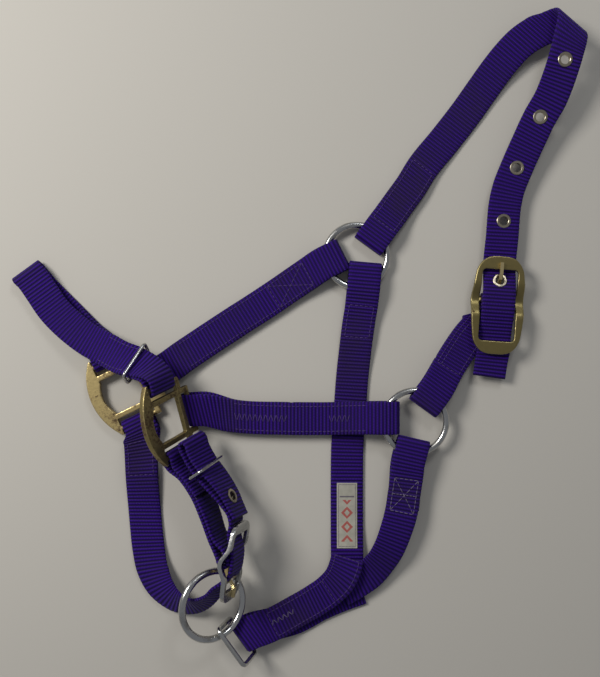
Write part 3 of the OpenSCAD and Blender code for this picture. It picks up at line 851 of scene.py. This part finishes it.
def thread(worn=False):
    sizes = bpy.context.scene.halter_webbing
    if worn:
        return finish_of("worn_thread", sewing_thread, "worn_thread", tuple(sizes.worn_thread))
    return finish_of("thread", sewing_thread, "purple_thread", tuple(sizes.thread))


def signed_power(value, power):
    return math.copysign(abs(value) ** power, value)


def round_corners(obj, barrel):
    """Keeps what is inside a barrel outline: its axes, middle, two lengths, half width and squareness."""
    f, o, top, bottom, half, power = barrel
    count = 96
    outline = []
    for k in range(count):
        a = 2 * math.pi * k / count
        x = signed_power(math.cos(a), 2 / power) * (half + 0.2)
        y = (top - bottom) / 2 + signed_power(math.sin(a), 2 / power) * (top + bottom) / 2
        outline.append((x, y))
    here = matrix_of(f, o)
    bm = bmesh.new()
    low, high = (
        [bm.verts.new(here @ Vector((x * MM, y * MM, z * MM))) for x, y in outline] for z in (-6, 12)
    )
    for k in range(count):
        after = (k + 1) % count
        bm.faces.new((low[k], low[after], high[after], high[k]))
    bm.faces.new(low[::-1])
    bm.faces.new(high)
    shape_with(obj, bm, "INTERSECT")


def level_rails(obj, barrel):
    """Takes the ends of the centre bar off the faces of a buckle's rails."""
    here = matrix_of(*barrel[:2])
    back = here.inverted()
    for v in obj.data.vertices:
        p = (back @ v.co) / MM
        if abs(p.x) > 13.4 and abs(p.y) < 4.5:
            mid = BUCKLE_LIFT / 2 * (1 - math.cos(math.pi * abs(p.y) / LIFT_LENGTH))
            p.z = min(mid + RAIL_HALF, max(mid - RAIL_HALF, p.z))
            v.co = here @ (p * MM)


def finished_copy(name, node, material, bevel, voxel=0.00042, barrel=None):
    """A CAD casting, merged, chamfered and worn smooth; barrel rounds a buckle and levels its rails."""
    source = frame["nodes"][node]
    mesh = source.data.copy()
    mesh.name = name
    bm = bmesh.new()
    bm.from_mesh(mesh)
    bmesh.ops.remove_doubles(bm, verts=bm.verts, dist=1e-6)
    bmesh.ops.dissolve_limit(bm, angle_limit=math.radians(1.5), verts=bm.verts, edges=bm.edges)
    bm.to_mesh(mesh)
    bm.free()
    mesh.materials.clear()
    obj = new_piece(name, mesh, material, source["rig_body"], (node,))
    only(obj)
    if bevel:
        change = obj.modifiers.new("chamfer", "BEVEL")
        change.width, change.segments = bevel, 1
        change.limit_method, change.angle_limit = "ANGLE", math.radians(40)
        bpy.ops.object.modifier_apply(modifier=change.name)
    if barrel:
        round_corners(obj, barrel)
    change = obj.modifiers.new("skin", "REMESH")
    change.mode, change.voxel_size, change.use_smooth_shade = "VOXEL", voxel, True
    bpy.ops.object.modifier_apply(modifier=change.name)
    if barrel:
        level_rails(obj, barrel)
    change = obj.modifiers.new("wear", "SMOOTH")
    change.factor, change.iterations = 0.5, bpy.context.scene.halter_metal.edge_round
    bpy.ops.object.modifier_apply(modifier=change.name)
    return obj


def dress(node, material):
    mesh = frame["nodes"][node].data
    if not mesh.materials:
        mesh.materials.append(material)
    for i in range(len(mesh.materials)):
        mesh.materials[i] = material


# ---- operators ----------------------------------------------------------------------------------


class HALTER_OT_crown(bpy.types.Operator):
    """Crown strap and its chape, with their stitching"""

    bl_idname = "halter.crown"
    bl_label = "Crown"

    def execute(self, context):
        crown = lay_strap(
            "crown_webbing", crown_route, ("crown_strap",), holes=(31, 34, 36, 39, 43),
            soils=((14, 40, 0.75), (17, 45, 0.5), (30, 25, 0.2), (44, 20, 0.3)),
        )
        chape = lay_strap(
            "crown_chape_webbing", crown_chape_route, ("crown_chape",),
            slots=((crown_buckle, crown_buckle_at, -5.5, 8),),
            soils=((6, 12, 0.7), (20, 9, 0.9), (12, 30, 0.25)),
        )
        sewing = Sewing()
        sewing.box(crown, 11, 15, 0.74)
        for a in (-0.76, -0.5, 0.74):
            sewing.row(chape, 11, 15, a)
        sewing.row(chape, 11, 11, (-0.76, 0.74))
        sewing.piece("crown_stitching", thread())
        return {"FINISHED"}


class HALTER_OT_cheeks(bpy.types.Operator):
    """The two cheek straps, doubled and sewn along both edges"""

    bl_idname = "halter.cheeks"
    bl_label = "Cheeks"

    def execute(self, context):
        off = lay_strap(
            "off_cheek_webbing", off_cheek_route, ("off_cheek_strap",),
            soils=((13, 18, 0.5), (15, 35, 0.35), (16, 12, 0.5)),
        )
        near = lay_strap(
            "near_cheek_webbing", near_cheek_route, ("near_cheek_strap",),
            soils=((14, 14, 0.4), (16, 30, 0.2), (17, 14, 0.5)),
        )
        sewing = Sewing()
        sewing.box(off, 12, 14, 0.76, cross=True)
        for a in (-0.76, 0.76):
            sewing.row(off, 14, 16, a)
            sewing.row(near, 13, 17, a)
        sewing.row(near, 14, 15, 0.0, pitch=2.0, zigzag=0.22)
        sewing.row(near, 16, 17, 0.0, pitch=2.0, zigzag=0.22)
        sewing.piece("cheek_stitching", thread())
        return {"FINISHED"}


class HALTER_OT_noseband(bpy.types.Operator):
    """The noseband, folded over on the floor"""

    bl_idname = "halter.noseband"
    bl_label = "Noseband"

    def execute(self, context):
        nose = lay_strap(
            "noseband_webbing", noseband_route, ("noseband",),
            soils=((19, 12, 0.5), (24, 30, 0.2), (29, 14, 0.4)),
        )
        sewing = Sewing()
        sewing.box(nose, 0, 1, 0.74)
        for a in (-0.76, 0.76):
            sewing.row(nose, 26, 28, a)
        sewing.piece("noseband_stitching", thread())
        return {"FINISHED"}


class HALTER_OT_throat(bpy.types.Operator):
    """Both throat straps and the connector, with their worn stitching"""

    bl_idname = "halter.throat"
    bl_label = "Throat and connector"

    def execute(self, context):
        off = lay_strap(
            "off_throat_webbing", off_throat_route, ("off_throat_strap",),
            soils=((15, 50, 0.6), (17, 30, 0.45)),
        )
        near = lay_strap(
            "near_throat_webbing", near_throat_route, ("near_throat_strap",),
            soils=((13, 16, 0.6), (17, 16, 0.3)),
        )
        link = lay_strap(
            "connector_webbing", connector_route, ("connector_strap",),
            soils=((16, 22, 0.6), (19, 18, 0.4)),
        )
        sewing = Sewing()
        sewing.box(off, 12, 14, 0.74)
        sewing.box(link, 15, 18, 0.74)
        sewing.row(link, 21, 21, (-0.8, 0.8))
        sewing.row(link, 18, 21, -0.74)
        sewing.row(link, 18, 21, 0.74)
        sewing.piece("throat_stitching", thread())
        worn = Sewing()
        worn.box(near, 12, 14, 0.72, cross=True, thick=0.26)
        worn.row(near, 13, 13, (-0.7, 0.7), pitch=2.4)
        worn.row(link, 15, 16, 0.1, pitch=2.0, zigzag=0.14, thick=0.26)
        worn.piece("throat_worn_stitching", thread(True))
        return {"FINISHED"}


class HALTER_OT_chin(bpy.types.Operator):
    """The adjustable chin strap, its free end and the chape under its buckle"""

    bl_idname = "halter.chin"
    bl_label = "Chin"

    def execute(self, context):
        strap = lay_strap(
            "chin_webbing", chin_route, ("chin_strap", "chin_tail"), holes=(27, 47),
            soils=((13, 26, 0.7), (19, 20, 0.3), (40, 12, 0.3)),
        )
        chape = lay_strap(
            "chin_chape_webbing", chin_chape_route, ("chin_chape",),
            slots=((chin_buckle, chin_buckle_at, -8, 5.5),),
            soils=((13, 16, 0.3),),
        )
        sewing = Sewing()
        sewing.box(strap, 12, 14, 0.74)
        for a in (-0.76, 0.76):
            sewing.row(chape, 12, 15, a)
        sewing.piece("chin_stitching", thread())
        return {"FINISHED"}


class HALTER_OT_rings(bpy.types.Operator):
    """Rings, wire loop, keepers, tongues and eyelets take their metal finishes"""

    bl_idname = "halter.rings"
    bl_label = "Rings and wire"

    def execute(self, context):
        metal = context.scene.halter_metal
        nickel = finish_of("nickel", plated_nickel, tuple(metal.nickel))
        gold = finish_of(
            "gold", cast_brass, "yellow_brass", tuple(metal.gold), tuple(metal.tarnish), 0.72,
            (0.8, 0.65, 0.34), 0.28,
        )
        eyes = finish_of("eyes", plated_nickel, (0.4, 0.35, 0.26), "eyelet_plate", 0.1)
        for node in ("off_cheek_ring", "near_cheek_ring", "chin_ring"):
            dress(node, nickel)
        for node in ("connector_loop", "chin_keeper", "nose_keeper"):
            dress(node, nickel)
        for node in ("crown_buckle_tongue", "chin_buckle_tongue"):
            dress(node, gold)
        for node in ("crown_eyelets", "chin_eyelets"):
            dress(node, eyes)
        return {"FINISHED"}


class HALTER_OT_castings(bpy.types.Operator):
    """The two nose castings and both buckle frames"""

    bl_idname = "halter.castings"
    bl_label = "Castings and buckles"

    def execute(self, context):
        metal = context.scene.halter_metal
        tarnish = tuple(metal.tarnish)
        # name, body, how rare the brown spots are, rubbed edges, roughness
        pale, dark, olive = (
            finish_of(name, cast_brass, name, body, tarnish, spots, edge, rough)
            for name, body, spots, edge, rough in (
                ("pale_cast_brass", tuple(metal.gold), 0.6, (0.78, 0.62, 0.32), 0.3),
                # the near casting's darker body colour is painted shade: a shaded copy of the pale brass,
                # with the same spots and edges
                ("dark_cast_brass", (0.3, 0.24, 0.1), 0.56, (0.74, 0.58, 0.27), 0.3),
                ("olive_cast_brass", tuple(metal.olive), 0.68, (0.6, 0.52, 0.26), 0.32),
            )
        )
        nickel = finish_of("nickel", plated_nickel, tuple(metal.nickel))
        finished_copy("off_nose_casting", "off_nose_square", pale, 0.0006)
        # the near casting takes the brass body darkened as painted shade
        finished_copy("near_nose_casting", "near_nose_square", dark, 0.0006)
        finished_copy(
            "crown_buckle_casting", "crown_buckle_frame", olive, 0.0009,
            barrel=(crown_buckle, crown_buckle_at, 33, 41, 19.8, 3.1),
        )
        finished_copy(
            "chin_buckle_casting", "chin_buckle_frame", nickel, 0.0006,
            barrel=(chin_buckle, chin_buckle_at, 29, 29, 19, 3.6),
        )
        return {"FINISHED"}


class HALTER_OT_label(bpy.types.Operator):
    """The woven label sewn on the off throat strap"""

    bl_idname = "halter.label"
    bl_label = "Label"

    def execute(self, context):
        bpy.ops.object.select_all(action="DESELECT")
        bpy.ops.mesh.primitive_grid_add(x_subdivisions=24, y_subdivisions=56, size=1.0)
        obj = context.active_object
        mesh = obj.data
        layer = mesh.uv_layers[0]
        layer.name = "weave"
        for loop in mesh.loops:
            v = mesh.vertices[loop.vertex_index].co
            layer.data[loop.index].uv = (v.x + 0.5, v.y + 0.5)
        route = Strap(off_throat_route, 2.0, 25.0, 2.4)
        for v in mesh.vertices:
            x, y = v.co.x, v.co.y
            run = route.point_run[20] + 5.6 - y * LABEL_LONG
            wrinkle = 0.05 * math.sin(x * 23) * math.sin(y * 17)
            puff = (1 - (2 * x) ** 6) * (1 - (2 * y) ** 10) * 0.28 + wrinkle
            spot = route.spot(run, x * LABEL_WIDE / 12.5, 0.0)
            way = 1 if spot[1][2] > 0 else -1
            place = route.spot(run, x * LABEL_WIDE / 12.5, way * (1.42 + 0.3 + puff))[0]
            v.co = Vector((place + SET_DOWN) * MM)
        mesh.name = obj.name = "label_patch"
        if mesh.polygons[0].normal.z < 0:
            mesh.flip_normals()
        change = obj.modifiers.new("tape", "SOLIDIFY")
        change.thickness, change.offset = 0.00045, -1.0
        bpy.ops.object.modifier_apply(modifier=change.name)
        bpy.ops.object.shade_smooth_by_angle(angle=math.radians(50))
        mesh.materials.clear()
        mesh.materials.append(finish_of("label", woven_label, context.scene.halter_label))
        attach(obj, "webbing")
        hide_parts("maker_label")
        return {"FINISHED"}


class HALTER_OT_stage(bpy.types.Operator):
    """Plain floor, soft lamps and the camera above the halter"""

    bl_idname = "halter.stage"
    bl_label = "Stage"

    def execute(self, context):
        look = context.scene.halter_stage
        bpy.ops.object.select_all(action="DESELECT")
        bpy.ops.mesh.primitive_plane_add(size=6.0, location=(0, 0, -0.0002))
        floor = context.active_object
        floor.name = "floor"
        f = Finish("plain_floor")
        f.set(Base_Color=tuple(look.floor), Roughness=0.8)
        floor.data.materials.append(f.material)
        for name, place, size, power, tint in (
            ("window_lamp", (-0.72, 0.42, 0.8), 0.42, look.key, (1.0, 0.98, 0.95)),
            ("far_lamp", (0.35, 0.9, 1.0), 0.35, look.key * 0.3, (0.94, 0.97, 1.0)),
        ):
            lamp = bpy.data.lights.new(name, "AREA")
            lamp.shape, lamp.size, lamp.energy, lamp.color = "DISK", size, power, tint
            obj = bpy.data.objects.new(name, lamp)
            obj.location = place
            obj.rotation_euler = (Vector((0, 0, 0)) - Vector(place)).to_track_quat("-Z", "Y").to_euler()
            context.scene.collection.objects.link(obj)
        sky = bpy.data.worlds.new("soft_room")
        sky.use_nodes = True
        sky.node_tree.nodes["Background"].inputs[0].default_value = (0.9, 0.93, 1.0, 1.0)
        sky.node_tree.nodes["Background"].inputs[1].default_value = 0.22
        context.scene.world = sky
        lens = bpy.data.cameras.new("overhead")
        lens.sensor_width, lens.sensor_fit = 36.0, "AUTO"
        lens.lens = 36.0 * look.height / (677 * 0.77 * MM)
        lens.clip_start = 0.01
        camera = bpy.data.objects.new("overhead", lens)
        camera.location = (0.0035, -0.0031, look.height)
        context.scene.collection.objects.link(camera)
        context.scene.camera = camera
        context.scene.view_settings.view_transform = "Standard"
        return {"FINISHED"}


OPERATORS = (
    HALTER_OT_stage, HALTER_OT_crown, HALTER_OT_cheeks, HALTER_OT_noseband, HALTER_OT_throat, HALTER_OT_chin,
    HALTER_OT_label, HALTER_OT_rings, HALTER_OT_castings,
)


class HALTER_PT_panel(bpy.types.Panel):
    """Every piece of the halter"""

    bl_idname = "HALTER_PT_panel"
    bl_label = "Webbing Halter"
    bl_space_type = "VIEW_3D"
    bl_region_type = "UI"
    bl_category = "Halter"

    def draw(self, context):
        for name in GROUPS:
            group = getattr(context.scene, name)
            column = self.layout.column()
            for key in group.__annotations__:
                column.prop(group, key)
        for piece in OPERATORS:
            self.layout.operator(piece.bl_idname)


GROUPS = {
    "halter_webbing": HalterWebbing,
    "halter_metal": HalterMetal,
    "halter_label": HalterLabel,
    "halter_stage": HalterStage,
}


def register():
    for cls in (*GROUPS.values(), *OPERATORS, HALTER_PT_panel):
        bpy.utils.register_class(cls)
    for name, cls in GROUPS.items():
        setattr(bpy.types.Scene, name, bpy.props.PointerProperty(type=cls))


def unregister():
    for name in GROUPS:
        delattr(bpy.types.Scene, name)
    for cls in reversed((*GROUPS.values(), *OPERATORS, HALTER_PT_panel)):
        bpy.utils.unregister_class(cls)


def main():
    register()
    for piece in OPERATORS:
        group, name = piece.bl_idname.split(".")
        getattr(getattr(bpy.ops, group), name)()


if __name__ == "__main__":
    main()
